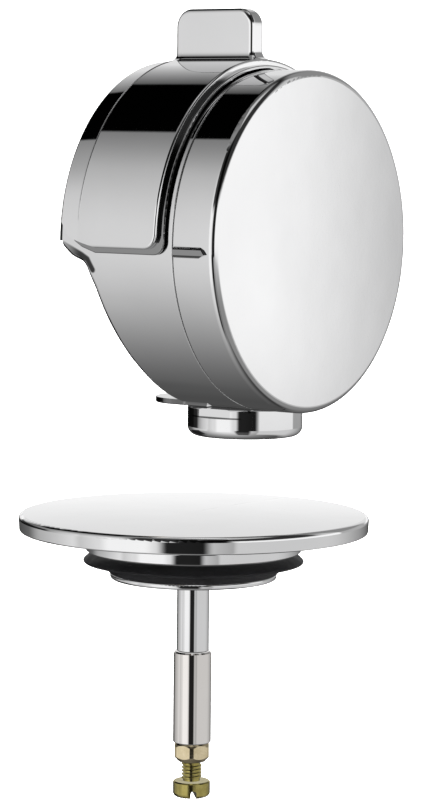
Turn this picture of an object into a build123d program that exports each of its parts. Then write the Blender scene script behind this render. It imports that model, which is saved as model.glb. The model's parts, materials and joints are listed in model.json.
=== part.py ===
from build123d import *
import math
import os

os.makedirs("parts", exist_ok=True)

# ---------------------------------------------------------------------------
# Bath waste and overflow: an overflow and filler head that is fixed to the
# tub wall, and the pop-up plug that its lever lifts.
# Millimetres. +Z is up, the wall plane is y = 0, and the head looks along -Y.
# The head's turning axis is the Y axis. The plug's axis is vertical.
# ---------------------------------------------------------------------------

# Head: main cylinder, cover and seam
R_BODY = 34.05            # outer radius of the housing and of the cover ring
Y_FRONT = -37.70          # front face of the cover
Y_SEAM = -27.75           # seam between cover ring and housing
SEAM_GAP = 0.16           # width of the seam
T_WALL = 1.95             # housing wall
Y_REAR = -0.90            # rear edge of the housing, on the wall gasket

# Cover
T_DISC = 1.60             # cover disc
R_COVER_IN = 32.50        # inside radius of the cover ring
R_COVER_EDGE = 1.45       # rounding of the cover's front edge
MARK_Y0, MARK_Y1, MARK_Y2 = -28.15, -34.00, -35.50   # position mark, tip last
MARK_Z0, MARK_Z1 = -2.25, -0.15
MARK_H = 0.60             # how far the mark stands proud
MARK_SLOPE = 0.52         # width of the mark's sloped sides

# Housing front spigot, bulkhead, lower rear cut
R_SPIGOT = 31.95
R_SPIGOT_IN = 29.95
Y_SPIGOT = -32.00
Y_BULK0, Y_BULK1 = -16.50, -14.50
R_BULK_HOLE = 12.50
REAR_CUT = [(-0.20, 0.10), (-0.30, -0.75), (-2.75, -2.85), (-5.80, -3.92), (-7.75, -8.90), (-11.30, -25.00), (-12.40, -37.00)]
CUT_ROUND = [1.2, 5.0, 2.4, 14.0, 30.0]   # rounding of the cut's corners
CUT_EDGE = 1.30           # rounding of the outer edge along the cut
TONGUE_HALF_W = 9.00
TONGUE_Y0 = -1.05
TONGUE_END = 8.50         # rounding of the tongue's end, seen from above
TONGUE_Z0, TONGUE_Z1 = -33.40, -32.25

# Lever: half shell with a fin
R_LEVER = 36.20           # outer radius of the shell
R_LEVER_IN = 34.40        # inner radius, clear of the housing
R_LEVER_REAR = 35.70      # radius at the rear edge
LEVER_REAR_ROUND = 0.70   # rounding of the rear edge
Y_LEVER_FRONT = -25.20
Y_LEVER_CREASE = -6.30
Y_LEVER_REAR = -1.30
Z_LEVER = -0.90           # lower edge of the shell on both sides
LEVER_CORNER = 3.00
LEVER_HEEL = [(-10.80, -0.90), (-7.20, 0.00), (-3.90, 1.00), (-1.30, 4.60)]   # lower rear corner
LEVER_EDGE = 0.50         # rounding of the shell's front and lower edges
R_LIP = 34.95             # thin border round the shell
Y_LIP = -26.30
Z_LIP = -1.95
LIP_CORNER = 2.60
LIP_HEEL = [(-9.60, -1.95), (-6.40, -0.90), (-4.40, 0.30), (-2.85, 3.20)]
LIP_EDGE = 0.25
FIN_T = 4.20
FIN_Y0, FIN_Y1 = -23.50, -4.35
FIN_TOP = 46.30
FIN_CORNER = 3.60
FIN_EDGE = 0.95           # rounding of the fin's edges
FIN_FOOT = 1.65           # fillet where the fin meets the shell
BOSS_X, BOSS_Y, BOSS_R, BOSS_Z = 7.00, -20.80, 2.60, 29.20

# Lever travel and the slot that lets its bosses through the housing
LEVER_TRAVEL = 60.0       # degrees, anticlockwise seen from the front
SLOT_HALF = 18.5          # degrees each side of the bosses
SLOT_Y0, SLOT_Y1 = -24.00, -17.60

# Drive: yoke, spindle and bearing tube
R_TUBE = 7.00             # bearing tube outside
R_TUBE_BORE = 3.16
R_SPINDLE = 3.10
Y_TUBE_FRONT = -23.40
R_HUB = 11.00
R_HUB_BORE = 7.06
Y_HUB_REAR = -19.20
Y_HUB_WALL = -24.10       # rear face of the hub's front wall
Y_HUB_FRONT = -26.40
SQ_SPINDLE = 4.40
SQ_HOLE = 4.46
Y_SPINDLE_REAR = 16.00
Y_CLIP = 7.85

# Water body
R_INLET = 13.00
R_INLET_IN = 11.00
Y_INLET = 7.00
INLET_RING_Y = (5.00, 1.90)
SPINDLE_RING_Y = 2.40
Y_PLATE0, Y_PLATE1 = -14.50, -10.50
R_PLATE = 17.50
PILLAR_X, PILLAR_Z, PILLAR_R = 18.00, 12.00, 5.00
FIX_END = 6.00            # how far the fixing screws reach into the wall
DUCT_R, DUCT_BORE = 6.00, 4.60
DUCT_Z = -18.80
OUTLET_Y = -21.20         # nozzle axis
SOCKET_Z = -27.00

# Nozzle and aerator
R_NOZZLE = 11.65
NOZZLE_TOP, NOZZLE_BOTTOM = -33.45, -39.45
NOZZLE_ROUND = 1.90       # rounding of the nozzle's lower edge
RECESS_Z, R_RECESS = -33.30, 11.95     # flat seat for the nozzle in the underside
NOZZLE_STEP = -35.30      # lower edge of the spanner flats
NOZZLE_AF = 22.10         # across the spanner flats
NOZZLE_TURN = 1.60      # degrees, how the flats stand
R_NOZZLE_BORE = 9.30
NOZZLE_CEIL = -36.40      # upper end of the wide bore
R_NECK = 4.52
R_NECK_BORE = 3.40
NECK_TOP = -24.30

# Plug
PLUG_Y = -8.60
R_CAP = 36.00
CAP_TOP, CAP_EDGE, CAP_LOW = -56.30, -57.60, -60.10
R_FLANGE = 22.20
FLANGE_TOP, FLANGE_LOW = -60.90, -64.30
R_LIP_SEAL = 22.70
SEAL_LOW = -68.85
R_SEAL = 17.60
R_RETAINER = 17.15
RETAINER_LOW = -70.00
R_STEM = 3.35
STEM_SHOULDER = -85.20
R_SLEEVE = 3.93
SLEEVE_LOW = -104.30
NUT_AF = 7.15
R_NUT = 3.90              # the nut's corners are turned down to this
NUT_LOW = -108.30
R_SCREW = 2.10
R_SCREW_ROOT = 1.75       # root of the thread, on the screw's free length
HEAD_TOP = -112.40
HEAD_LOW = -115.70
R_HEAD = 3.86


def turned_y(points):
    """Solid of revolution about the head axis from (radius, y) points."""
    return revolve(make_face(Polyline(*[(r, y) for r, y in points], close=True)), Axis.Y)


def turned_z(points, cx=0.0, cy=0.0):
    """Solid of revolution about a vertical axis from (radius, z) points."""
    face = Plane.XZ * make_face(Polyline(*[(r, z) for r, z in points], close=True))
    return Pos(cx, cy, 0) * revolve(face, Axis.Z)


def rod_y(r, y0, y1, x=0.0, z=0.0):
    return Pos(x, (y0 + y1) / 2, z) * Rot(90, 0, 0) * Cylinder(r, abs(y1 - y0))


def rod_z(r, z0, z1, x=0.0, y=0.0):
    return Pos(x, y, (z0 + z1) / 2) * Cylinder(r, abs(z1 - z0))


def block(x0, x1, y0, y1, z0, z1):
    return Pos((x0 + x1) / 2, (y0 + y1) / 2, (z0 + z1) / 2) * Box(abs(x1 - x0), abs(y1 - y0), abs(z1 - z0))


def side_prism(points, half_x, radii=None):
    """Prism across X from a (y, z) outline; radii rounds the named corners."""
    face = Plane.YZ * make_face(Polyline(*points, close=True))
    if radii:
        for (py, pz), r in radii:
            v = face.vertices().sort_by_distance(Vector(0, py, pz))[0]
            face = fillet(v, r)
    return extrude(face, amount=half_x, both=True)


def circle_edges_y(shape, r, y, tol=0.02):
    out = []
    for e in shape.edges():
        if e.geom_type == GeomType.CIRCLE and abs(e.radius - r) < tol and abs(e.arc_center.Y - y) < tol:
            out.append(e)
    return out


def circle_edges_z(shape, r, z, tol=0.02):
    out = []
    for e in shape.edges():
        if e.geom_type == GeomType.CIRCLE and abs(e.radius - r) < tol and abs(e.arc_center.Z - z) < tol:
            out.append(e)
    return out


def torus_y(major, minor, y):
    return Pos(0, y, 0) * Rot(90, 0, 0) * Torus(major, minor)


def save(shape, name):
    export_step(shape, "parts/" + name + ".step")
    return shape


# ---------------------------------------------------------------------------
# Front cover: a cup-shaped cap with a flat disc and a plain ring
# ---------------------------------------------------------------------------
y_cover_rear = Y_SEAM - SEAM_GAP / 2
cover = turned_y([
    (0.0, Y_FRONT), (R_BODY, Y_FRONT), (R_BODY, y_cover_rear), (R_COVER_IN, y_cover_rear),
    (R_COVER_IN, Y_FRONT + T_DISC), (0.0, Y_FRONT + T_DISC)])
cover = fillet(circle_edges_y(cover, R_BODY, Y_FRONT), R_COVER_EDGE)
cover = fillet(circle_edges_y(cover, R_BODY, y_cover_rear), 0.18)
cover = chamfer(circle_edges_y(cover, R_COVER_IN, y_cover_rear), 0.35)
# position mark: a small bar with sloped sides and a pointed front end
mark_zc = (MARK_Z0 + MARK_Z1) / 2
mark_outline = Plane.YZ * make_face(Polyline(
    (MARK_Y0, MARK_Z0), (MARK_Y1, MARK_Z0), (MARK_Y2, mark_zc - 0.35), (MARK_Y1 - 0.5, MARK_Z1), (MARK_Y0, MARK_Z1), close=True))
mark_prism = Pos(-R_BODY, 0, 0) * extrude(mark_outline, amount=2.0, both=True)
mark_section = Plane.XZ * make_face(Polyline(
    (-R_BODY + 0.6, MARK_Z0), (-R_BODY, MARK_Z0), (-R_BODY - MARK_H, MARK_Z0 + MARK_SLOPE),
    (-R_BODY - MARK_H, MARK_Z1 - MARK_SLOPE), (-R_BODY, MARK_Z1), (-R_BODY + 0.6, MARK_Z1), close=True))
mark_bar = Pos(0, (MARK_Y0 + MARK_Y2) / 2, 0) * extrude(mark_section, amount=6.0, both=True)
mark = mark_prism & mark_bar
cover = cover + mark
# seat for the nozzle's rim in the underside of the ring
nozzle_seat = rod_z(R_RECESS, RECESS_Z - 6.0, RECESS_Z, 0, OUTLET_Y)
cover = cover - nozzle_seat
save(cover, "front_cover")

# ---------------------------------------------------------------------------
# Housing: one shell with the front spigot, the bulkhead, the lever slot, the
# cut-back lower rear edge that lets overflow water in, and a rear tongue
# ---------------------------------------------------------------------------
y_house_front = Y_SEAM + SEAM_GAP / 2
groove_y0, groove_y1, groove_r = -31.10, -29.10, 30.80
housing = turned_y([
    (R_BODY, y_house_front), (R_BODY, Y_REAR), (R_BODY - T_WALL, Y_REAR),
    (R_BODY - T_WALL, Y_BULK1), (R_BULK_HOLE, Y_BULK1), (R_BULK_HOLE, Y_BULK0),
    (R_BODY - T_WALL, Y_BULK0), (R_BODY - T_WALL, y_house_front + 2.2), (R_SPIGOT_IN, y_house_front + 2.2),
    (R_SPIGOT_IN, Y_SPIGOT), (R_SPIGOT, Y_SPIGOT),
    (R_SPIGOT, groove_y0), (groove_r, groove_y0), (groove_r, groove_y1), (R_SPIGOT, groove_y1),
    (R_SPIGOT, y_house_front)])
housing = fillet(circle_edges_y(housing, R_BODY, y_house_front), 0.18)
housing = chamfer(circle_edges_y(housing, R_SPIGOT, Y_SPIGOT), 0.40)
cut_outline = REAR_CUT + [(6.0, -37.0), (6.0, 0.10)]
rear_cut = side_prism(cut_outline, 50.0, radii=list(zip(REAR_CUT[1:-1], CUT_ROUND)))
housing = housing - rear_cut
# rounded outer edge along the cut
def on_cut_edge(e):
    c = e.position_at(0.5)
    r = math.hypot(c.X, c.Z)
    return abs(r - R_BODY) < 0.05 and c.Z < -0.9 and c.Y > -14.0
cut_edges = [e for e in housing.edges() if on_cut_edge(e)]
housing = fillet(cut_edges, CUT_EDGE)
# tongue at the bottom, reaching back from the wall of the shell
tongue = block(-TONGUE_HALF_W, TONGUE_HALF_W, -18.0, TONGUE_Y0, TONGUE_Z0, TONGUE_Z1)
tongue = fillet(tongue.edges().filter_by(Axis.Z).sort_by(Axis.Y)[-2:], TONGUE_END)
tongue = fillet([e for e in tongue.edges() if abs(e.position_at(0.5).Z - TONGUE_Z0) < 0.01 and e.position_at(0.5).Y > TONGUE_Y0 - TONGUE_END], 0.25)
housing = housing + tongue
# slot for the lever bosses, from the right of the top round to the left
slot_ring = turned_y([(R_BODY - T_WALL - 1, SLOT_Y0), (R_BODY + 1, SLOT_Y0), (R_BODY + 1, SLOT_Y1), (R_BODY - T_WALL - 1, SLOT_Y1)])
a0 = math.radians(90 - SLOT_HALF)
a1 = math.radians(90 + LEVER_TRAVEL + SLOT_HALF)
fan = [(0.0, 0.0)]
for i in range(9):
    a = a0 + (a1 - a0) * i / 8
    fan.append((60 * math.cos(a), 60 * math.sin(a)))
slot_wedge = extrude(Plane.XZ * make_face(Polyline(*fan, close=True)), amount=60, both=True)
housing = housing - (slot_ring & slot_wedge)
# keyhole below the bulkhead's centre hole for the water duct
housing = housing - (block(-DUCT_R - 0.6, DUCT_R + 0.6, Y_BULK0 - 0.2, Y_BULK1 + 0.2, SOCKET_Z - 0.8, 0)
                     & rod_y(40, Y_BULK0 - 0.2, Y_BULK1 + 0.2))
# nozzle seat and outlet hole in the bottom wall, screw holes in the bulkhead
housing = housing - nozzle_seat
housing = housing - rod_z(R_NECK + 0.5, -40, -28, 0, OUTLET_Y)
HS_X, HS_Z = 12.5, -9.0
for sx in (-1, 1):
    housing = housing - rod_y(1.70, Y_BULK0 - 1, Y_BULK1 + 1, sx * HS_X, HS_Z)
save(housing, "overflow_housing")

# O-ring that grips the cover on the spigot
save(torus_y(31.65, 0.85, (groove_y0 + groove_y1) / 2), "cover_o_ring")

# Rubber strip between housing and wall, upper half only
gasket = turned_y([(R_BODY - T_WALL + 0.1, Y_REAR), (R_BODY - 0.35, Y_REAR), (R_BODY - 0.35, 0.0), (R_BODY - T_WALL + 0.1, 0.0)])
gasket = gasket & block(-50, 50, -2, 1, 0.12, 50)
save(gasket, "wall_gasket")

# ---------------------------------------------------------------------------
# Water body: inlet spigot, fixing plate with two pillars, bearing tube for the
# lever and the duct down to the nozzle, one casting
# ---------------------------------------------------------------------------
wb = rod_y(R_INLET, Y_INLET, Y_PLATE1)
wb += rod_y(R_PLATE, Y_PLATE1, Y_PLATE0)
wb += block(-PILLAR_X, PILLAR_X, Y_PLATE0, Y_PLATE1, PILLAR_Z - PILLAR_R, PILLAR_Z + PILLAR_R)
for sx in (-1, 1):
    wb += rod_y(PILLAR_R, Y_PLATE0, 0.0, sx * PILLAR_X, PILLAR_Z)
wb += rod_y(R_TUBE, Y_PLATE1, Y_TUBE_FRONT)
wb += rod_y(DUCT_R, Y_PLATE1, OUTLET_Y, 0, DUCT_Z)
wb += block(-DUCT_R, DUCT_R, Y_PLATE0, Y_PLATE1, DUCT_Z, 0)
wb += rod_z(DUCT_R, SOCKET_Z, DUCT_Z, 0, OUTLET_Y)
wb += Pos(0, OUTLET_Y, DUCT_Z) * Sphere(DUCT_R)
# bearing tube runs the whole length of the inlet spigot
bore = rod_y(R_INLET_IN, Y_INLET + 1, -8.20) - rod_y(R_TUBE, Y_INLET + 2, -9.0)
wb -= bore
wb -= rod_y(2.6, -9.5, -7.5, 0, -9.0) & rod_y(R_INLET_IN, -9.6, -7)
# water way: from the spigot's ring gap into the duct and down to the socket
wb -= block(-3.0, 3.0, -12.6, -8.0, DUCT_Z, -8.2)
wb -= rod_y(DUCT_BORE - 0.9, -12.6, OUTLET_Y, 0, DUCT_Z)
wb -= Pos(0, OUTLET_Y, DUCT_Z) * Sphere(DUCT_BORE - 0.9)
wb -= rod_z(DUCT_BORE, SOCKET_Z - 1, -24.0, 0, OUTLET_Y)
wb -= rod_z(DUCT_BORE - 0.9, -25.0, DUCT_Z, 0, OUTLET_Y)
# spindle bore with a groove for its seal
wb -= rod_y(R_TUBE_BORE, Y_INLET + 3, Y_TUBE_FRONT - 1)
wb -= rod_y(4.70, SPINDLE_RING_Y - 1.0, SPINDLE_RING_Y + 1.0)
# fixing holes, countersunk from the front
for sx in (-1, 1):
    wb -= rod_y(2.75, 1.0, Y_PLATE0 - 1, sx * PILLAR_X, PILLAR_Z)
    cone = Pos(sx * PILLAR_X, Y_PLATE0 + 1.25, PILLAR_Z) * Rot(90, 0, 0) * Cone(2.75, 5.25, 2.52)
    wb -= cone
    wb -= rod_y(1.30, Y_PLATE0 - 0.5, Y_PLATE1 - 0.8, sx * HS_X, HS_Z)
# O-ring grooves on the inlet spigot
for y in INLET_RING_Y:
    wb -= rod_y(R_INLET + 1, y - 1.25, y + 1.25) - rod_y(R_INLET - 1.4, y - 2, y + 2)
wb = chamfer(circle_edges_y(wb, R_INLET, Y_INLET), 0.5)
save(wb, "water_body")

inlet_rings = [torus_y(R_INLET - 0.44, 0.95, y) for y in INLET_RING_Y]
save(Compound(children=inlet_rings), "inlet_o_rings")

seal_in = torus_y(R_SPINDLE + 0.05 + 0.72, 0.72, SPINDLE_RING_Y)
save(seal_in, "spindle_o_ring")

# countersunk screws into the wall
fix = []
for sx in (-1, 1):
    s = rod_y(2.45, FIX_END, 0.0, sx * PILLAR_X, PILLAR_Z)
    s += rod_y(2.25, 0.4, Y_PLATE0 + 2.0, sx * PILLAR_X, PILLAR_Z)
    s += Pos(sx * PILLAR_X, Y_PLATE0 + 0.15 + 1.25, PILLAR_Z) * Rot(90, 0, 0) * Cone(2.25, 4.75, 2.50)
    s -= block(sx * PILLAR_X - 3.0, sx * PILLAR_X + 3.0, Y_PLATE0 - 0.5, Y_PLATE0 + 1.2, PILLAR_Z - 0.50, PILLAR_Z + 0.50)
    s -= block(sx * PILLAR_X - 0.50, sx * PILLAR_X + 0.50, Y_PLATE0 - 0.5, Y_PLATE0 + 1.2, PILLAR_Z - 3.0, PILLAR_Z + 3.0)
    s = chamfer(circle_edges_y(s, 2.45, FIX_END), 0.8)
    fix.append(s)
save(Compound(children=fix), "fixing_screws")

# pan-head screws that hold the housing to the water body
pan = []
for sx in (-1, 1):
    s = rod_y(1.30, Y_PLATE1 - 1.0, Y_BULK0, sx * HS_X, HS_Z)
    h = rod_y(2.70, Y_BULK0, Y_BULK0 - 1.80, sx * HS_X, HS_Z)
    h = fillet(circle_edges_y(h, 2.70, Y_BULK0 - 1.80), 0.8)
    s = s + h
    s -= block(sx * HS_X - 1.6, sx * HS_X + 1.6, Y_BULK0 - 2.0, Y_BULK0 - 0.9, HS_Z - 0.3, HS_Z + 0.3)
    s -= block(sx * HS_X - 0.3, sx * HS_X + 0.3, Y_BULK0 - 2.0, Y_BULK0 - 0.9, HS_Z - 1.6, HS_Z + 1.6)
    pan.append(s)
save(Compound(children=pan), "housing_screws")

# slide washer between the bearing tube's end and the yoke
washer = turned_y([(3.40, Y_TUBE_FRONT), (6.70, Y_TUBE_FRONT), (6.70, Y_TUBE_FRONT - 0.50), (3.40, Y_TUBE_FRONT - 0.50)])
save(washer, "thrust_washer")

# ---------------------------------------------------------------------------
# Nozzle with its aerator, screwed up through the housing into the water body
# ---------------------------------------------------------------------------
nozzle = turned_z([
    (R_NECK_BORE, NECK_TOP), (R_NECK, NECK_TOP), (R_NECK, NOZZLE_TOP), (R_NOZZLE, NOZZLE_TOP),
    (R_NOZZLE, NOZZLE_BOTTOM), (R_NOZZLE_BORE, NOZZLE_BOTTOM), (R_NOZZLE_BORE, NOZZLE_CEIL), (R_NECK_BORE, NOZZLE_CEIL)], 0, OUTLET_Y)
nozzle = fillet(circle_edges_z(nozzle, R_NOZZLE, NOZZLE_BOTTOM), NOZZLE_ROUND)
nozzle = chamfer(circle_edges_z(nozzle, R_NOZZLE_BORE, NOZZLE_BOTTOM), 0.25)
nozzle = chamfer(circle_edges_z(nozzle, R_NECK, NECK_TOP), 0.40)
for sx in (-1, 1):
    nozzle -= Pos(0, OUTLET_Y, 0) * Rot(0, 0, NOZZLE_TURN) * block(sx * NOZZLE_AF / 2, sx * 20, -15, 15, NOZZLE_STEP, NOZZLE_TOP + 1)
nozzle = fillet([e for e in circle_edges_z(nozzle, R_NOZZLE, NOZZLE_TOP)], 0.30)
save(nozzle, "nozzle")

washer2 = turned_z([(4.0, NOZZLE_CEIL), (9.2, NOZZLE_CEIL), (9.2, NOZZLE_CEIL - 0.8), (4.0, NOZZLE_CEIL - 0.8)], 0, OUTLET_Y)
save(washer2, "nozzle_washer")

aer = rod_z(9.25, NOZZLE_CEIL - 0.8, NOZZLE_BOTTOM + 0.45, 0, OUTLET_Y)
aer_cells = []
pitch = 2.35
rows = 5
for iy in range(-rows, rows + 1):
    for ix in range(-rows, rows + 1):
        x = ix * pitch + (pitch / 2 if iy % 2 else 0)
        y = iy * pitch * 0.866
        if math.hypot(x, y) < 7.6:
            aer_cells.append(rod_z(0.80, NOZZLE_CEIL, NOZZLE_BOTTOM, x, OUTLET_Y + y))
aer = aer - aer_cells
save(aer, "aerator")

# ---------------------------------------------------------------------------
# Lever: half shell that turns round the housing, with a fin to turn it by
# ---------------------------------------------------------------------------
shell_face = make_face(Polyline(
    (R_LEVER_IN, Y_LEVER_FRONT), (R_LEVER, Y_LEVER_FRONT), (R_LEVER, Y_LEVER_CREASE),
    (R_LEVER_REAR, Y_LEVER_REAR), (R_LEVER_IN, Y_LEVER_REAR), close=True))
shell_face = fillet(shell_face.vertices().sort_by_distance(Vector(R_LEVER_REAR, Y_LEVER_REAR, 0))[0], LEVER_REAR_ROUND)
shell = Rot(0, 90, 0) * revolve(shell_face, Axis.Y)
outline = side_prism(
    [(Y_LEVER_FRONT, Z_LEVER)] + LEVER_HEEL + [(Y_LEVER_REAR, 60), (Y_LEVER_FRONT, 60)], 60.0,
    radii=[((Y_LEVER_FRONT, Z_LEVER), LEVER_CORNER), (LEVER_HEEL[2], 2.2), (LEVER_HEEL[3], 1.5)])
shell = shell & outline


def rim_edges(part, r_out, y_front, y_end):
    """Outer edges along the front and the lower sides of a half shell."""
    out = []
    for e in part.edges():
        p = [e.position_at(t) for t in (0.0, 0.25, 0.5, 0.75, 1.0)]
        rr = [math.hypot(q.X, q.Z) for q in p]
        if min(rr) < r_out - 0.03 or max(rr) > r_out + 0.6:
            continue
        if all(abs(q.Y - y_front) < 0.02 for q in p):
            out.append(e)
        elif all(q.Z < 4.0 for q in p) and max(q.Y for q in p) < y_end and not all(abs(q.Y - p[0].Y) < 1e-3 for q in p):
            out.append(e)
    return out


fin = side_prism([(FIN_Y0, 33.0), (FIN_Y1, 33.0), (FIN_Y1, FIN_TOP), (FIN_Y0, FIN_TOP)], FIN_T / 2,
                 radii=[((FIN_Y1, FIN_TOP), FIN_CORNER), ((FIN_Y0, FIN_TOP), FIN_CORNER)])
fin = fillet([e for e in fin.edges() if e.center().Z > 33.5 and abs(abs(e.center().X) - FIN_T / 2) < 0.01], FIN_EDGE)
fin = fin - rod_y(R_LEVER_IN, 5, -45)
lever = shell + fin
foot = []
for e in lever.edges():
    c = e.position_at(0.5)
    if 35.0 < math.hypot(c.X, c.Z) < R_LEVER + 0.06 and abs(c.X) < FIN_T / 2 + 0.1 and FIN_Y0 - 0.1 < c.Y < FIN_Y1 + 0.1 and c.Z > 33 and e.length > 0.05:
        foot.append(e)
lever = fillet(foot, FIN_FOOT)
lever = fillet(rim_edges(lever, R_LEVER, Y_LEVER_FRONT, LEVER_HEEL[0][0] + 0.1), LEVER_EDGE)
# thin border that runs round the shell on the housing
lip = Rot(0, 90, 0) * turned_y([(R_LEVER_IN, Y_LIP), (R_LIP, Y_LIP), (R_LIP, Y_LEVER_REAR - 1.0), (R_LEVER_IN, Y_LEVER_REAR - 1.0)])
lip = lip & side_prism(
    [(Y_LIP, Z_LIP)] + LIP_HEEL + [(LIP_HEEL[-1][0], 60), (Y_LIP, 60)], 60.0,
    radii=[((Y_LIP, Z_LIP), LIP_CORNER), (LIP_HEEL[1], 2.0), (LIP_HEEL[2], 2.0)])
lip = fillet(rim_edges(lip, R_LIP, Y_LIP, -6.2), LIP_EDGE)
lever = lever + lip
for sx in (-1, 1):
    b = rod_z(BOSS_R, BOSS_Z, 36.0, sx * BOSS_X, BOSS_Y) & rod_y(R_LEVER_IN + 0.3, -30, -10)
    lever = lever + b
for sx in (-1, 1):
    lever = lever - rod_z(1.25, BOSS_Z - 1, 33.4, sx * BOSS_X, BOSS_Y)
save(lever, "lever_shell")

# yoke: cup-shaped hub on the bearing tube, and an arm up to the shell's bosses
yoke = rod_y(R_HUB, Y_HUB_REAR, Y_HUB_FRONT)
yoke += block(-4.0, 4.0, -23.0, -19.4, 8.0, 27.5)
yoke += block(-9.8, 9.8, -23.2, -18.4, 26.6, BOSS_Z)
yoke = yoke - rod_y(R_HUB_BORE, Y_HUB_REAR + 1, Y_HUB_WALL)
yoke = yoke - block(-SQ_HOLE / 2, SQ_HOLE / 2, Y_HUB_FRONT - 1, Y_HUB_WALL + 1, -SQ_HOLE / 2, SQ_HOLE / 2)
for sx in (-1, 1):
    yoke = yoke - rod_z(1.40, 20, BOSS_Z + 1, sx * BOSS_X, BOSS_Y)
yoke = fillet([e for e in yoke.edges().filter_by(Axis.Y) if 26.0 < e.center().Z < 26.7 and abs(e.center().X) > 9], 0.8)
save(yoke, "drive_yoke")

ys = []
for sx in (-1, 1):
    s = rod_z(1.25, 26.6, 33.0, sx * BOSS_X, BOSS_Y)
    h = rod_z(2.20, 24.9, 26.6, sx * BOSS_X, BOSS_Y)
    h = fillet(circle_edges_z(h, 2.20, 24.9), 0.6)
    s = s + h
    s -= block(sx * BOSS_X - 3, sx * BOSS_X + 3, BOSS_Y - 0.3, BOSS_Y + 0.3, 24.5, 25.7)
    ys.append(s)
save(Compound(children=ys), "yoke_screws")

# spindle: round in the tube, square at both ends
spindle = rod_y(R_SPINDLE, Y_CLIP + 2.0, Y_HUB_WALL)
spindle += block(-SQ_SPINDLE / 2, SQ_SPINDLE / 2, Y_HUB_FRONT + 0.2, Y_HUB_WALL + 0.5, -SQ_SPINDLE / 2, SQ_SPINDLE / 2)
spindle += block(-SQ_SPINDLE / 2, SQ_SPINDLE / 2, Y_CLIP + 1.5, Y_SPINDLE_REAR, -SQ_SPINDLE / 2, SQ_SPINDLE / 2)
spindle = chamfer([e for e in spindle.edges() if abs(e.center().Y - Y_SPINDLE_REAR) < 0.01], 0.5)
spindle -= rod_y(R_SPINDLE + 1, Y_CLIP - 0.45, Y_CLIP + 0.45) - rod_y(2.45, Y_CLIP - 2, Y_CLIP + 2)
spindle -= rod_y(1.25, Y_HUB_FRONT - 1, -14.0)
save(spindle, "spindle")

# retaining ring in the spindle's rear groove, open at one side
clip = turned_y([(2.50, Y_CLIP - 0.40), (4.90, Y_CLIP - 0.40), (4.90, Y_CLIP + 0.40), (2.50, Y_CLIP + 0.40)])
clip = clip - block(-1.6, 1.6, Y_CLIP - 2, Y_CLIP + 2, -6, -1.0)
save(clip, "spindle_clip")

# screw that holds the yoke on the spindle
sc = rod_y(1.25, -14.6, Y_HUB_FRONT)
hd = rod_y(4.20, Y_HUB_FRONT, Y_HUB_FRONT - 2.0)
hd = fillet(circle_edges_y(hd, 4.20, Y_HUB_FRONT - 2.0), 0.9)
sc = sc + hd
sc -= block(-2.0, 2.0, Y_HUB_FRONT - 3, Y_HUB_FRONT - 0.9, -0.4, 0.4)
sc -= block(-0.4, 0.4, Y_HUB_FRONT - 3, Y_HUB_FRONT - 0.9, -2.0, 2.0)
save(sc, "spindle_screw")

# ---------------------------------------------------------------------------
# Pop-up plug
# ---------------------------------------------------------------------------
# cap: a thin turned disc with a rim turned down and a threaded boss
cap_face = Plane.XZ * make_face([
    ThreePointArc((0, CAP_TOP), (18.0, CAP_TOP - 0.085), (35.2, CAP_TOP - 0.32)),
    ThreePointArc((35.2, CAP_TOP - 0.32), (35.78, CAP_TOP - 0.70), (R_CAP, CAP_EDGE - 0.05)),
    Line((R_CAP, CAP_EDGE - 0.05), (R_CAP - 0.15, CAP_LOW)),
    Line((R_CAP - 0.15, CAP_LOW), (33.9, CAP_LOW)),
    Line((33.9, CAP_LOW), (33.4, CAP_LOW + 1.5)),
    Line((33.4, CAP_LOW + 1.5), (10.0, CAP_LOW + 1.5)),
    Line((10.0, CAP_LOW + 1.5), (9.0, FLANGE_TOP)),
    Line((9.0, FLANGE_TOP), (2.55, FLANGE_TOP)),
    Line((2.55, FLANGE_TOP), (2.55, -58.0)),
    Line((2.55, -58.0), (0, -58.0)),
    Line((0, -58.0), (0, CAP_TOP)),
])
cap = Pos(0, PLUG_Y, 0) * revolve(cap_face, Axis.Z)
cap = fillet(circle_edges_z(cap, R_CAP - 0.15, CAP_LOW), 0.35)
save(cap, "plug_cap")

# clamping flange under the cap
flange = turned_z([
    (3.45, FLANGE_TOP), (19.0, FLANGE_TOP), (R_FLANGE, FLANGE_TOP - 0.9), (R_FLANGE, FLANGE_LOW + 0.3),
    (R_FLANGE - 0.4, FLANGE_LOW), (3.45, FLANGE_LOW)], 0, PLUG_Y)
flange = fillet(circle_edges_z(flange, R_FLANGE, FLANGE_TOP - 0.9), 0.5)
save(flange, "plug_flange")

# lip seal: a rubber ring with a thin lip that reaches out below the flange
seal_face = Plane.XZ * make_face([
    Line((3.45, FLANGE_LOW), (19.6, FLANGE_LOW)),
    ThreePointArc((19.6, FLANGE_LOW), (21.4, FLANGE_LOW - 0.75), (R_LIP_SEAL - 0.12, FLANGE_LOW - 1.75)),
    ThreePointArc((R_LIP_SEAL - 0.12, FLANGE_LOW - 1.75), (R_LIP_SEAL, FLANGE_LOW - 2.05), (R_LIP_SEAL - 0.25, FLANGE_LOW - 2.30)),
    ThreePointArc((R_LIP_SEAL - 0.25, FLANGE_LOW - 2.30), (20.2, FLANGE_LOW - 2.25), (R_SEAL + 0.45, FLANGE_LOW - 3.05)),
    Line((R_SEAL + 0.45, FLANGE_LOW - 3.05), (R_SEAL, SEAL_LOW + 0.35)),
    Line((R_SEAL, SEAL_LOW + 0.35), (R_SEAL - 0.35, SEAL_LOW)),
    Line((R_SEAL - 0.35, SEAL_LOW), (3.45, SEAL_LOW)),
    Line((3.45, SEAL_LOW), (3.45, FLANGE_LOW)),
])
save(Pos(0, PLUG_Y, 0) * revolve(seal_face, Axis.Z), "plug_seal")

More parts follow.
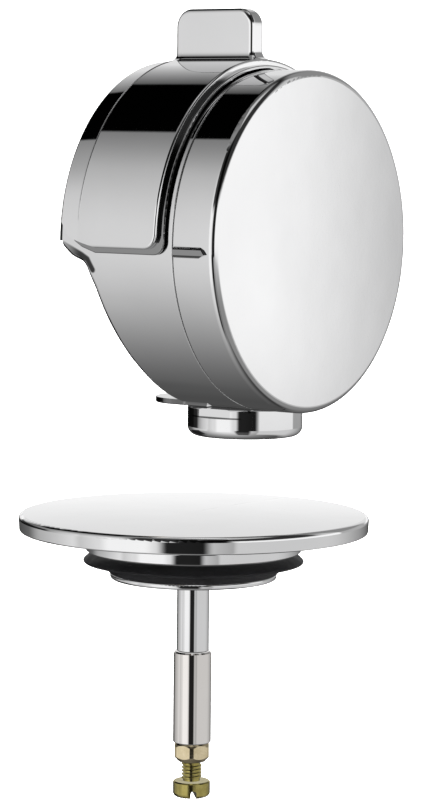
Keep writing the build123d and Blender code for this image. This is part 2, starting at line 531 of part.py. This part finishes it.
# retainer disc that clamps the seal from below
retainer = turned_z([
    (3.45, SEAL_LOW), (R_RETAINER, SEAL_LOW), (R_RETAINER, RETAINER_LOW), (3.45, RETAINER_LOW)], 0, PLUG_Y)
retainer = fillet(circle_edges_z(retainer, R_RETAINER, SEAL_LOW) , 0.35)
retainer = fillet(circle_edges_z(retainer, R_RETAINER, RETAINER_LOW), 0.55)
save(retainer, "seal_retainer")

# stem: threaded into the cap, with a shoulder under the retainer, and a thinner
# threaded end inside the sleeve
stem = turned_z([
    (0, -58.3), (2.50, -58.3), (2.50, FLANGE_TOP), (R_STEM, FLANGE_TOP), (R_STEM, STEM_SHOULDER), (2.45, STEM_SHOULDER),
    (2.45, -96.0), (0, -96.0)], 0, PLUG_Y)
stem = stem + turned_z([(R_STEM - 0.1, RETAINER_LOW), (5.2, RETAINER_LOW), (5.2, RETAINER_LOW - 0.7), (R_STEM - 0.1, RETAINER_LOW - 0.7)], 0, PLUG_Y)
stem = chamfer(circle_edges_z(stem, R_STEM, STEM_SHOULDER), 0.25)
save(stem, "plug_stem")

# sleeve: the guided part of the stem
sleeve = turned_z([
    (2.50, STEM_SHOULDER), (R_SLEEVE, STEM_SHOULDER), (R_SLEEVE, SLEEVE_LOW), (R_SCREW + 0.05, SLEEVE_LOW),
    (R_SCREW + 0.05, -97.0), (2.50, -97.0)], 0, PLUG_Y)
sleeve = chamfer(circle_edges_z(sleeve, R_SLEEVE, STEM_SHOULDER), 0.30)
sleeve = chamfer(circle_edges_z(sleeve, R_SLEEVE, SLEEVE_LOW), 0.20)
save(sleeve, "guide_sleeve")

# lock nut on the adjusting screw
nut = extrude(RegularPolygon(NUT_AF / 2, 6, major_radius=False), amount=(SLEEVE_LOW - NUT_LOW) / 2, both=True)
nut = fillet(nut.edges().filter_by(Axis.Z), 0.30)
nut = Pos(0, PLUG_Y, (SLEEVE_LOW + NUT_LOW) / 2) * Rot(0, 0, 35.8) * nut
nut_cone = turned_z([
    (0, SLEEVE_LOW), (3.25, SLEEVE_LOW), (3.65, SLEEVE_LOW - 0.40), (R_NUT, SLEEVE_LOW - 0.75),
    (R_NUT, NUT_LOW + 1.20), (3.65, NUT_LOW + 0.90), (2.75, NUT_LOW), (0, NUT_LOW)], 0, PLUG_Y)
nut = nut & nut_cone
nut = nut - rod_z(R_SCREW + 0.02, NUT_LOW - 1, SLEEVE_LOW + 1, 0, PLUG_Y)
save(nut, "lock_nut")

# slotted adjusting screw
screw = rod_z(R_SCREW, NUT_LOW, -97.6, 0, PLUG_Y)
screw += rod_z(R_SCREW_ROOT, HEAD_TOP - 0.2, NUT_LOW + 0.2, 0, PLUG_Y)
head = rod_z(R_HEAD, HEAD_LOW, HEAD_TOP, 0, PLUG_Y)
head = fillet(circle_edges_z(head, R_HEAD, HEAD_LOW), 0.90)
head = chamfer(circle_edges_z(head, R_HEAD, HEAD_TOP), 0.25)
screw = screw + head
# slot with a round root
slot_dir = -47.0
screw = screw - (Pos(0, PLUG_Y, HEAD_LOW + 0.50) * Rot(0, 0, slot_dir) * Box(1.24, 12.0, 1.20))
screw = screw - (Pos(0, PLUG_Y, HEAD_LOW + 1.10) * Rot(0, 0, slot_dir) * Rot(90, 0, 0) * Cylinder(0.62, 12.0))
screw = chamfer(circle_edges_z(screw, R_SCREW, -97.6), 0.5)
save(screw, "adjusting_screw")
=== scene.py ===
import json
import math

import bpy
from mathutils import Matrix, Vector


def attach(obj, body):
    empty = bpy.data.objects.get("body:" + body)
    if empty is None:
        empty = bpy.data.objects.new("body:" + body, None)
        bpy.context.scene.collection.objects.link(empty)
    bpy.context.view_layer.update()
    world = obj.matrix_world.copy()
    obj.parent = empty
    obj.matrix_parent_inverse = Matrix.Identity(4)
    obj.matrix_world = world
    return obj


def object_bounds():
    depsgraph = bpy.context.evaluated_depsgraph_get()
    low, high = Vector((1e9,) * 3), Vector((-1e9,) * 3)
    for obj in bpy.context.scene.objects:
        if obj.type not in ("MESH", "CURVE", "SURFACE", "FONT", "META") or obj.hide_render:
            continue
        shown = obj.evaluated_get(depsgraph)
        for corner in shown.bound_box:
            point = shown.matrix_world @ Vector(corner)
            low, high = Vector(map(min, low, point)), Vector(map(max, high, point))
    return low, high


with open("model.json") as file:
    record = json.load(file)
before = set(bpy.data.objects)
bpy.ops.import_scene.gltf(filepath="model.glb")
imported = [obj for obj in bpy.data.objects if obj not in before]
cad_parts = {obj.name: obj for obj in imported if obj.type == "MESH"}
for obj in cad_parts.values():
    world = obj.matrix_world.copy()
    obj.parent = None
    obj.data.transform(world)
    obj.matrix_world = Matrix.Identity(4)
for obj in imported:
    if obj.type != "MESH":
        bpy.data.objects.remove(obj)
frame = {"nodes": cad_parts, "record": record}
cad_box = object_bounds()
scene = bpy.context.scene
nodes_of = frame["nodes"]

# ---------------------------------------------------------------------------
# Camera: the photograph's viewing angle, in the same frame as the model
# ---------------------------------------------------------------------------
AZ, EL, ROLL = math.radians(-54.19), math.radians(5.39), math.radians(0.55)
DIST, FOCAL_PX, IMG_W, IMG_H = 0.600, 2960.5, 422, 800
cam_dir = Vector((math.sin(AZ) * math.cos(EL), -math.cos(AZ) * math.cos(EL), math.sin(EL)))
cam_right = Vector((math.cos(AZ), math.sin(AZ), 0.0))
cam_up = cam_dir.cross(cam_right)
right_r = cam_right * math.cos(ROLL) + cam_up * math.sin(ROLL)
up_r = cam_up * math.cos(ROLL) - cam_right * math.sin(ROLL)
target = Vector((0.0, -0.015, 0.0)) + right_r * -0.00221 + up_r * -0.03265
cam_data = bpy.data.cameras.new("photo_camera")
cam = bpy.data.objects.new("photo_camera", cam_data)
scene.collection.objects.link(cam)
cam_data.sensor_fit = "AUTO"
cam_data.sensor_width = 36.0
cam_data.lens = 36.0 * FOCAL_PX / IMG_H
cam_data.clip_start, cam_data.clip_end = 0.01, 50.0
cam_data.dof.use_dof = False
cam.matrix_world = Matrix((
    (right_r.x, up_r.x, cam_dir.x, 0), (right_r.y, up_r.y, cam_dir.y, 0),
    (right_r.z, up_r.z, cam_dir.z, 0), (0, 0, 0, 1)))
cam.location = target + cam_dir * DIST
scene.camera = cam
scene.view_settings.view_transform = "Standard"
scene.view_settings.look = "None"


# ---------------------------------------------------------------------------
# Node helpers
# ---------------------------------------------------------------------------
def new_tree(name):
    mat = bpy.data.materials.new(name)
    mat.use_nodes = True
    nt = mat.node_tree
    nt.nodes.clear()
    out = nt.nodes.new("ShaderNodeOutputMaterial")
    bsdf = nt.nodes.new("ShaderNodeBsdfPrincipled")
    nt.links.new(bsdf.outputs["BSDF"], out.inputs["Surface"])
    return mat, nt, bsdf


def math_node(nt, op, a, b=None, c=None, clamp=False):
    n = nt.nodes.new("ShaderNodeMath")
    n.operation = op
    n.use_clamp = clamp
    for i, v in enumerate((a, b, c)):
        if v is None:
            continue
        if isinstance(v, (int, float)):
            n.inputs[i].default_value = v
        else:
            nt.links.new(v, n.inputs[i])
    return n.outputs[0]


def smooth_range(nt, v, lo, hi, out_lo=0.0, out_hi=1.0):
    n = nt.nodes.new("ShaderNodeMapRange")
    n.interpolation_type = "SMOOTHSTEP"
    nt.links.new(v, n.inputs["Value"])
    n.inputs["From Min"].default_value = lo
    n.inputs["From Max"].default_value = hi
    n.inputs["To Min"].default_value = out_lo
    n.inputs["To Max"].default_value = out_hi
    return n.outputs["Result"]


def linear_range(nt, v, lo, hi, out_lo, out_hi):
    n = nt.nodes.new("ShaderNodeMapRange")
    nt.links.new(v, n.inputs["Value"])
    n.inputs["From Min"].default_value = lo
    n.inputs["From Max"].default_value = hi
    n.inputs["To Min"].default_value = out_lo
    n.inputs["To Max"].default_value = out_hi
    return n.outputs["Result"]


def coords(nt, scale=(1, 1, 1)):
    tc = nt.nodes.new("ShaderNodeTexCoord")
    mp = nt.nodes.new("ShaderNodeMapping")
    mp.inputs["Scale"].default_value = scale
    nt.links.new(tc.outputs["Object"], mp.inputs["Vector"])
    return mp.outputs["Vector"]


def noise(nt, vec, scale, detail=4.0, rough=0.55):
    n = nt.nodes.new("ShaderNodeTexNoise")
    n.inputs["Scale"].default_value = scale
    n.inputs["Detail"].default_value = detail
    n.inputs["Roughness"].default_value = rough
    nt.links.new(vec, n.inputs["Vector"])
    return n.outputs["Fac"]


def two_tone(nt, fac, a, b, lo=0.3, hi=0.7):
    r = nt.nodes.new("ShaderNodeValToRGB")
    r.color_ramp.elements[0].position = lo
    r.color_ramp.elements[1].position = hi
    r.color_ramp.elements[0].color = (*a, 1)
    r.color_ramp.elements[1].color = (*b, 1)
    nt.links.new(fac, r.inputs["Fac"])
    return r.outputs["Color"]


def bump(nt, height, strength, distance, below=None):
    n = nt.nodes.new("ShaderNodeBump")
    n.inputs["Strength"].default_value = strength
    n.inputs["Distance"].default_value = distance
    nt.links.new(height, n.inputs["Height"])
    if below is not None:
        nt.links.new(below, n.inputs["Normal"])
    return n.outputs["Normal"]


# ---------------------------------------------------------------------------
# Materials
# ---------------------------------------------------------------------------
def height(nt):
    """Height in the frame, in metres."""
    tc = nt.nodes.new("ShaderNodeTexCoord")
    sp = nt.nodes.new("ShaderNodeSeparateXYZ")
    nt.links.new(tc.outputs["Object"], sp.inputs[0])
    return sp.outputs["Z"]


def mix_colour(nt, fac, a, b):
    n = nt.nodes.new("ShaderNodeMix")
    n.data_type = "RGBA"
    nt.links.new(fac, n.inputs["Factor"])
    nt.links.new(a, n.inputs["A"])
    nt.links.new(b, n.inputs["B"])
    return n.outputs["Result"]


def segment_distance(nt, u, v, a, b):
    """Distance from the point (u, v) to the line from a to b."""
    du, dv = b[0] - a[0], b[1] - a[1]
    pu, pv = math_node(nt, "SUBTRACT", u, a[0]), math_node(nt, "SUBTRACT", v, a[1])
    dot = math_node(nt, "ADD", math_node(nt, "MULTIPLY", pu, du), math_node(nt, "MULTIPLY", pv, dv))
    t = math_node(nt, "DIVIDE", dot, du * du + dv * dv, clamp=True)
    eu = math_node(nt, "SUBTRACT", pu, math_node(nt, "MULTIPLY", t, du))
    ev = math_node(nt, "SUBTRACT", pv, math_node(nt, "MULTIPLY", t, dv))
    return math_node(nt, "SQRT", math_node(nt, "ADD", math_node(nt, "MULTIPLY", eu, eu), math_node(nt, "MULTIPLY", ev, ev)))


def painted_head_shade(nt):
    """Painted shade on the plating: a darker base colour in corners and along edges; one at full brightness."""
    tc = nt.nodes.new("ShaderNodeTexCoord")
    sp = nt.nodes.new("ShaderNodeSeparateXYZ")
    nt.links.new(tc.outputs["Object"], sp.inputs[0])
    x, y, z = sp.outputs
    r = math_node(nt, "SQRT", math_node(nt, "ADD", math_node(nt, "MULTIPLY", x, x), math_node(nt, "MULTIPLY", z, z)))
    # painted shade in the border lip round the shell, stronger lower down
    border = math_node(nt, "MULTIPLY", smooth_range(nt, r, 0.03422, 0.03432), smooth_range(nt, r, 0.03515, 0.03503))
    border = math_node(nt, "MULTIPLY", border, smooth_range(nt, z, -0.0032, -0.0026))
    border = math_node(nt, "MULTIPLY", border, smooth_range(nt, z, 0.024, 0.010, 0.22, 0.62))
    # painted shade along the S-shaped rear rim below the shell's heel
    path = [(-0.0012, -0.0006), (-0.0056, -0.0025), (-0.0070, -0.0033), (-0.0081, -0.0053)]
    d = None
    for a, b in zip(path[:-1], path[1:]):
        e = segment_distance(nt, y, z, a, b)
        d = e if d is None else math_node(nt, "MINIMUM", d, e)
    edge = math_node(nt, "MULTIPLY", smooth_range(nt, d, 0.00085, 0.00040), smooth_range(nt, r, 0.03425, 0.03415))
    edge = math_node(nt, "MULTIPLY", edge, smooth_range(nt, y, -0.0015, -0.0055, 0.55, 0.93))
    # painted shade round the lower edge of the cover, on the rear tongue and its side, and in the corner of the
    # nozzle's flat
    rim = math_node(nt, "MULTIPLY", smooth_range(nt, y, -0.0362, -0.0367), smooth_range(nt, r, 0.03265, 0.0330))
    rim = math_node(nt, "MULTIPLY", rim, smooth_range(nt, r, 0.03395, 0.0336))
    rim = math_node(nt, "MULTIPLY", rim, smooth_range(nt, z, 0.002, -0.012, 0.0, 0.58))
    tongue = math_node(nt, "MULTIPLY", smooth_range(nt, y, -0.0130, -0.0120), smooth_range(nt, z, -0.0318, -0.0321))
    tongue = math_node(nt, "MULTIPLY", tongue, smooth_range(nt, y, -0.0110, -0.0060, 0.80, 0.66))
    side = math_node(nt, "MULTIPLY", smooth_range(nt, x, -0.00875, -0.00888), smooth_range(nt, x, -0.00920, -0.00910))
    side = math_node(nt, "MULTIPLY", side, math_node(nt, "MULTIPLY", smooth_range(nt, z, -0.0324, -0.0326), smooth_range(nt, z, -0.0341, -0.0338)))
    side = math_node(nt, "MULTIPLY", side, smooth_range(nt, y, -0.0120, -0.0130, 0.0, 0.78))
    corner = math_node(nt, "MULTIPLY", smooth_range(nt, z, -0.03496, -0.03508), smooth_range(nt, z, -0.03536, -0.03531))
    corner = math_node(nt, "MULTIPLY", corner, smooth_range(nt, x, -0.0098, -0.0103, 0.0, 0.80))
    keep = math_node(nt, "SUBTRACT", 1.0, border)
    for part in (edge, rim, tongue, side, corner):
        keep = math_node(nt, "MULTIPLY", keep, math_node(nt, "SUBTRACT", 1.0, part))
    return keep


def chrome(name, tone_a, tone_b, rough_lo, rough_hi, wave=0.02, stretch=(1, 1, 1), low=None, shade=False):
    """Polished plating: a faint change of tone, a little haze, and polishing waves."""
    mat, nt, b = new_tree(name)
    v = coords(nt)
    tone = noise(nt, v, 55.0, 3.0)
    colour = two_tone(nt, tone, tone_a, tone_b)
    if low:
        z_from, z_to, low_a, low_b = low
        colour = mix_colour(nt, smooth_range(nt, height(nt), z_from, z_to), colour, two_tone(nt, tone, low_a, low_b))
    # painted shade: the base colour is scaled down in corners and along edges
    if shade:
        n = nt.nodes.new("ShaderNodeVectorMath")
        n.operation = "SCALE"
        nt.links.new(colour, n.inputs[0])
        nt.links.new(painted_head_shade(nt), n.inputs["Scale"])
        colour = n.outputs["Vector"]
    nt.links.new(colour, b.inputs["Base Color"])
    b.inputs["Metallic"].default_value = 1.0
    haze = noise(nt, v, 140.0, 5.0, 0.6)
    nt.links.new(linear_range(nt, haze, 0.3, 0.75, rough_lo, rough_hi), b.inputs["Roughness"])
    polish = noise(nt, coords(nt, stretch), 900.0, 2.0)
    swell = noise(nt, v, 90.0, 1.0)
    n1 = bump(nt, swell, wave, 0.0004)
    n2 = bump(nt, polish, wave, 0.00004, n1)
    nt.links.new(n2, b.inputs["Normal"])
    return mat


def turned(name, tone_a, tone_b, rough_lo, rough_hi, ring_axis="Z", pitch=0.00016, depth=0.25, low=None):
    """Bare turned metal: fine tool rings along the axis, uneven sheen."""
    mat, nt, b = new_tree(name)
    v = coords(nt)
    tone = noise(nt, v, 420.0, 5.0, 0.6)
    colour = two_tone(nt, tone, tone_a, tone_b)
    # optional second colour below a height; on brass_plain it is painted shade
    if low:
        z_from, z_to, low_a, low_b = low
        colour = mix_colour(nt, smooth_range(nt, height(nt), z_from, z_to), colour, two_tone(nt, tone, low_a, low_b))
    nt.links.new(colour, b.inputs["Base Color"])
    b.inputs["Metallic"].default_value = 1.0
    haze = noise(nt, v, 900.0, 4.0)
    nt.links.new(linear_range(nt, haze, 0.3, 0.7, rough_lo, rough_hi), b.inputs["Roughness"])
    w = nt.nodes.new("ShaderNodeTexWave")
    w.wave_type = "BANDS"
    w.bands_direction = ring_axis
    w.inputs["Scale"].default_value = 1.0 / pitch / 6.283
    w.inputs["Distortion"].default_value = 0.6
    w.inputs["Detail"].default_value = 2.0
    nt.links.new(v, w.inputs["Vector"])
    n1 = bump(nt, w.outputs["Fac"], depth, 0.00003)
    n2 = bump(nt, tone, 0.15, 0.00005, n1)
    nt.links.new(n2, b.inputs["Normal"])
    return mat


def cast_brass(name):
    mat, nt, b = new_tree(name)
    v = coords(nt)
    tone = noise(nt, v, 160.0, 6.0, 0.62)
    nt.links.new(two_tone(nt, tone, (0.40, 0.27, 0.10), (0.66, 0.50, 0.24)), b.inputs["Base Color"])
    b.inputs["Metallic"].default_value = 1.0
    nt.links.new(linear_range(nt, tone, 0.3, 0.75, 0.34, 0.55), b.inputs["Roughness"])
    grain = noise(nt, v, 2600.0, 3.0)
    n1 = bump(nt, grain, 0.35, 0.00008)
    n2 = bump(nt, tone, 0.2, 0.0002, n1)
    nt.links.new(n2, b.inputs["Normal"])
    return mat


def rubber(name):
    mat, nt, b = new_tree(name)
    v = coords(nt)
    tone = noise(nt, v, 300.0, 5.0)
    nt.links.new(two_tone(nt, tone, (0.003, 0.003, 0.0034), (0.008, 0.008, 0.009)), b.inputs["Base Color"])
    nt.links.new(linear_range(nt, tone, 0.3, 0.7, 0.42, 0.62), b.inputs["Roughness"])
    b.inputs["Specular IOR Level"].default_value = 0.22
    grain = noise(nt, v, 3600.0, 3.0)
    nt.links.new(bump(nt, grain, 0.25, 0.00005), b.inputs["Normal"])
    return mat


def plastic(name, a, c, rough_lo, rough_hi, grain_scale=2200.0, grain=0.2):
    mat, nt, b = new_tree(name)
    v = coords(nt)
    tone = noise(nt, v, 220.0, 5.0)
    nt.links.new(two_tone(nt, tone, a, c), b.inputs["Base Color"])
    nt.links.new(linear_range(nt, tone, 0.3, 0.7, rough_lo, rough_hi), b.inputs["Roughness"])
    g = noise(nt, v, grain_scale, 3.0)
    nt.links.new(bump(nt, g, grain, 0.00005), b.inputs["Normal"])
    return mat


MATERIALS = {
    # chrome_head carries painted shade in its base colour
    "chrome_head": chrome("chrome_head", (0.90, 0.90, 0.905), (0.94, 0.94, 0.945), 0.015, 0.045, shade=True),
    "chrome_plug": chrome("chrome_plug", (0.90, 0.90, 0.905), (0.94, 0.94, 0.945), 0.015, 0.05,
                          low=(-0.0850, -0.0854, (0.90, 0.865, 0.835), (0.94, 0.91, 0.885))),
    # brass_plain: below the lock nut the screw turns a darker olive, painted shade for its darker reflections
    "brass_plain": turned("brass_plain", (0.72, 0.60, 0.37), (0.86, 0.74, 0.50), 0.12, 0.22, depth=0.15,
                          low=(-0.1080, -0.1086, (0.33, 0.27, 0.075), (0.54, 0.47, 0.165))),
    "brass_cast": cast_brass("brass_cast"),
    "steel": turned("steel", (0.50, 0.50, 0.51), (0.66, 0.66, 0.67), 0.22, 0.38, ring_axis="Y"),
    "black_rubber": rubber("black_rubber"),
    "grey_plastic": plastic("grey_plastic", (0.10, 0.10, 0.108), (0.15, 0.15, 0.158), 0.45, 0.6),
    "white_plastic": plastic("white_plastic", (0.66, 0.66, 0.64), (0.78, 0.78, 0.76), 0.38, 0.52, grain=0.1),
}
slot_of = {s["node"]: s["material_slot"] for s in frame["record"]["subparts"]}
for name, obj in nodes_of.items():
    mat = MATERIALS[slot_of[name]]
    if not obj.material_slots:
        obj.data.materials.append(mat)
    for ms in obj.material_slots:
        ms.material = mat

# The plug and the nozzle stay out of the reflections on the head's underside.
for name in ("plug_cap", "plug_flange", "plug_seal", "seal_retainer", "plug_stem", "guide_sleeve",
             "lock_nut", "adjusting_screw", "nozzle", "aerator", "nozzle_washer"):
    nodes_of[name].visible_glossy = False


# ---------------------------------------------------------------------------
# Thread on the free length of the adjusting screw
# ---------------------------------------------------------------------------
def helix(name, cx, cy, z0, z1, r_root, r_crest, pitch, steps=48):
    """Ridge that winds up the screw's core, fading out at both ends."""
    half_root, half_crest = pitch * 0.47, pitch * 0.20
    start, stop = z0 + half_root, z1 - half_root
    n = int((stop - start) / pitch * steps)
    verts, faces = [], []
    for i in range(n + 1):
        z = start + (stop - start) * i / n
        a = 2 * math.pi * (z - start) / pitch
        fade = min(1.0, i / (steps * 0.3), (n - i) / (steps * 0.3))
        r_top = r_root + 0.00006 + (r_crest - r_root - 0.00006) * fade
        for r, dz in ((r_root, -half_root), (r_top, -half_crest), (r_top, half_crest), (r_root, half_root)):
            verts.append((cx + r * math.cos(a), cy + r * math.sin(a), z + dz))
    for i in range(n):
        for k in range(4):
            k2 = (k + 1) % 4
            faces.append((i * 4 + k, (i + 1) * 4 + k, (i + 1) * 4 + k2, i * 4 + k2))
    faces.append((0, 1, 2, 3))
    faces.append((n * 4 + 3, n * 4 + 2, n * 4 + 1, n * 4))
    me = bpy.data.meshes.new(name)
    me.from_pydata(verts, [], faces)
    me.update()
    ob = bpy.data.objects.new(name, me)
    scene.collection.objects.link(ob)
    return ob


def bead(name, radius, y, a0, a1, tube, steps=120, sides=10):
    """Thin raised line round the head's axis, from angle a0 to a1 in degrees above the left side."""
    verts, faces = [], []
    for i in range(steps + 1):
        a = math.radians(a0 + (a1 - a0) * i / steps)
        fade = min(1.0, 0.25 + i / 8, 0.25 + (steps - i) / 8)
        for k in range(sides):
            t = 2 * math.pi * k / sides
            r = radius + tube * fade * math.cos(t)
            verts.append((-r * math.cos(a), y + tube * fade * math.sin(t), r * math.sin(a)))
    for i in range(steps):
        for k in range(sides):
            k2 = (k + 1) % sides
            faces.append((i * sides + k, i * sides + k2, (i + 1) * sides + k2, (i + 1) * sides + k))
    faces.append(tuple(range(sides - 1, -1, -1)))
    faces.append(tuple(steps * sides + k for k in range(sides)))
    me = bpy.data.meshes.new(name)
    me.from_pydata(verts, [], faces)
    for q in me.polygons:
        q.use_smooth = len(q.vertices) == 4
    me.update()
    ob = bpy.data.objects.new(name, me)
    scene.collection.objects.link(ob)
    me.materials.append(MATERIALS["chrome_head"])
    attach(ob, "lever")
    return ob


# line along the crease of the lever shell, on both sides of the fin
for side_name, a0, a1 in (("left", 6.0, 82.0), ("right", 98.0, 174.0)):
    bead("crease_line_" + side_name, 0.03614, -0.0063, a0, a1, 0.00017)

thread = helix("screw_thread", 0.0, -0.0086, -0.11236, -0.10834, 0.00166, 0.00208, 0.00072)
thread.data.materials.append(MATERIALS["brass_plain"])
thread.visible_glossy = False
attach(thread, "plug")

# ---------------------------------------------------------------------------
# Stage: a pale floor that sweeps up into a pale backdrop, and studio light
# ---------------------------------------------------------------------------
FLOOR_Z = cad_box[0].z - 0.012


def sweep(name, radius, depth, height, mat):
    """Floor and backdrop in one sheet of revolution, so that every view has the same plain ground."""
    prof = [(0.0, FLOOR_Z), (depth * 0.5, FLOOR_Z), (depth - radius, FLOOR_Z)]
    for i in range(1, 13):
        t = i / 12 * math.pi / 2
        prof.append((depth - radius + radius * math.sin(t), FLOOR_Z + radius - radius * math.cos(t)))
    prof.append((depth, FLOOR_Z + height))
    n = 96
    verts, faces = [], []
    for r, z in prof:
        for k in range(n):
            a = 2 * math.pi * k / n
            verts.append((r * math.cos(a), r * math.sin(a), z))
    for j in range(len(prof) - 1):
        for k in range(n):
            k2 = (k + 1) % n
            faces.append((j * n + k, j * n + k2, (j + 1) * n + k2, (j + 1) * n + k))
    me = bpy.data.meshes.new(name)
    me.from_pydata(verts, [], faces)
    for p in me.polygons:
        p.use_smooth = True
    ob = bpy.data.objects.new(name, me)
    scene.collection.objects.link(ob)
    me.materials.append(mat)
    return ob


floor_mat, nt, b = new_tree("stage_floor")
b.inputs["Base Color"].default_value = (0.9, 0.9, 0.9, 1)
b.inputs["Roughness"].default_value = 0.9
b.inputs["Emission Color"].default_value = (1, 1, 1, 1)
b.inputs["Emission Strength"].default_value = 0.95
floor = sweep("stage_floor", 1.2, 4.0, 6.0, floor_mat)
floor.visible_glossy = False
floor.visible_shadow = False

# The room's light, by direction: bright on the left, falling off to the right,
# light in front, a wall behind, a dark card overhead and one by the camera.
world = bpy.data.worlds.new("studio")
scene.world = world
world.use_nodes = True
wt = world.node_tree
wt.nodes.clear()
w_out = wt.nodes.new("ShaderNodeOutputWorld")
w_bg = wt.nodes.new("ShaderNodeBackground")
wt.links.new(w_bg.outputs[0], w_out.inputs["Surface"])
w_tc = wt.nodes.new("ShaderNodeTexCoord")
w_sep = wt.nodes.new("ShaderNodeSeparateXYZ")
wt.links.new(w_tc.outputs["Generated"], w_sep.inputs[0])


class NodeOps:
    """The arithmetic of the light, drawn as nodes."""

    def __init__(self, nt):
        self.nt = nt

    def mul(self, a, b):
        return math_node(self.nt, "MULTIPLY", a, b)

    def add(self, a, b):
        return math_node(self.nt, "ADD", a, b)

    def sub(self, a, b):
        return math_node(self.nt, "SUBTRACT", a, b)

    def div(self, a, b):
        return math_node(self.nt, "DIVIDE", a, b)

    def mx(self, a, b):
        return math_node(self.nt, "MAXIMUM", a, b)

    def mn(self, a, b):
        return math_node(self.nt, "MINIMUM", a, b)

    def ex(self, a):
        return math_node(self.nt, "EXPONENT", a)

    def abs(self, a):
        return math_node(self.nt, "ABSOLUTE", a)

    def az(self, x, y):
        return self.mul(math_node(self.nt, "ARCTAN2", x, self.mul(y, -1.0)), 57.29578)

    def C(self, v, lo, hi):
        return linear_range(self.nt, v, lo, hi, 0.0, 1.0)

    def S(self, v, lo, hi):
        return smooth_range(self.nt, v, lo, hi)


def studio_light(X, Y, Z, o):
    """Light by direction. o holds the arithmetic, so that the same text can be drawn as nodes."""
    mul, add, sub, mx, mn, S, C, ex = o.mul, o.add, o.sub, o.mx, o.mn, o.S, o.C, o.ex
    az = o.az(X, Y)                       # degrees: 0 front, 90 right, -90 left
    high = o.abs(Z)
    up = S(Z, -0.14, -0.105)
    low = mul(S(Z, -0.12, -0.15), S(Z, -0.40, -0.32))
    # side light: strong on the left, fading to the right and a little towards the top
    side = mn(mx(mul(ex(mul(X, -1.62)), 0.19), 0.072), 0.74)
    side = mul(side, sub(1.0, mul(S(Z, 0.55, 0.80), 0.28)))
    side = add(side, mul(mul(S(Y, 0.48, 0.34), S(az, -77.0, -87.0)), mul(S(high, 0.50, 0.30), 0.21)))
    side = add(side, mul(mul(S(Y, 0.66, 0.76), low), mul(S(X, 0.24, -0.10), 0.23)))
    rear = mul(mul(S(Y, 0.655, 0.72), S(X, -0.28, -0.55)), mul(S(Z, -0.14, -0.10), S(Z, 0.60, 0.30)))
    side = add(side, mul(rear, 0.15))
    # front light, cut off on its right; the pale floor below it
    f_az = mul(S(az, -34.0, -24.0), sub(1.0, mul(mul(S(az, 55.0, 59.2), up), 0.56)))
    f_az = mul(f_az, sub(1.0, mul(mul(S(az, 42.0, 100.0), sub(1.0, up)), 0.55)))
    f_az = mul(f_az, S(az, 128.0, 84.0))
    f_z = add(mul(S(Z, -0.88, -0.66), 0.62), mul(S(Z, -0.15, -0.06), 0.36))
    f_z = sub(f_z, mul(S(Z, 0.20, 0.32), 0.40))
    front = mul(f_az, f_z)
    # wall behind on the right: white at the horizon, grey above, dark below
    w_az = mul(S(az, 84.0, 108.0), S(az, 172.0, 142.0))
    w_z = add(mul(C(Z, 0.755, 0.395), 0.76), mul(S(Z, 0.175, 0.08), 0.24))
    wall = mul(mul(w_az, w_z), S(Z, -0.03, 0.02))
    total = mx(mx(side, front), wall)
    # dark behind, round the horizon
    behind = mul(mul(mul(S(az, 108.0, 136.0), S(Z, 0.0, -0.03)), S(Z, -0.36, -0.18)), mul(up, 0.62))
    total = mul(total, sub(1.0, behind))
    gap_z = mx(mul(S(Z, -0.145, -0.12), S(Z, 0.24, 0.12)), mul(S(Z, -0.75, -0.60), S(Z, -0.28, -0.33)))
    gap = mul(mx(S(az, 140.0, 156.0), S(az, -160.0, -168.0)), gap_z)
    total = mul(total, sub(1.0, mul(gap, 0.93)))
    # dark ceiling in front, and a dark card overhead
    ceiling = mul(mul(S(Z, 0.28, 0.42), S(Z, 0.93, 0.86)), mul(mul(S(Y, 0.30, 0.10), S(X, 0.66, 0.50)), 0.95))
    total = mul(total, sub(1.0, ceiling))
    xz = o.div(X, mx(Z, 0.02))
    card = mul(mul(S(xz, -0.33, -0.29), S(xz, 0.56, 0.50)), S(Z, 0.40, 0.46))
    card = mul(card, S(Y, 0.30, 0.42))
    total = mul(total, sub(1.0, mul(card, 0.998)))
    # dark strip where the camera stands
    strip = mul(S(sub(az, mul(up, 5.0)), -79.0, -71.0), S(sub(az, mul(up, 13.0)), -40.0, -48.0))
    s_z = add(mul(S(high, 0.45, 0.32), 0.10), mul(S(high, 0.90, 0.75), 0.88))
    total = mul(total, sub(1.0, mul(strip, s_z)))
    return total


light = studio_light(w_sep.outputs["X"], w_sep.outputs["Y"], w_sep.outputs["Z"], NodeOps(wt))
wt.links.new(light, w_bg.inputs["Color"])
w_bg.inputs["Strength"].default_value = 1.0
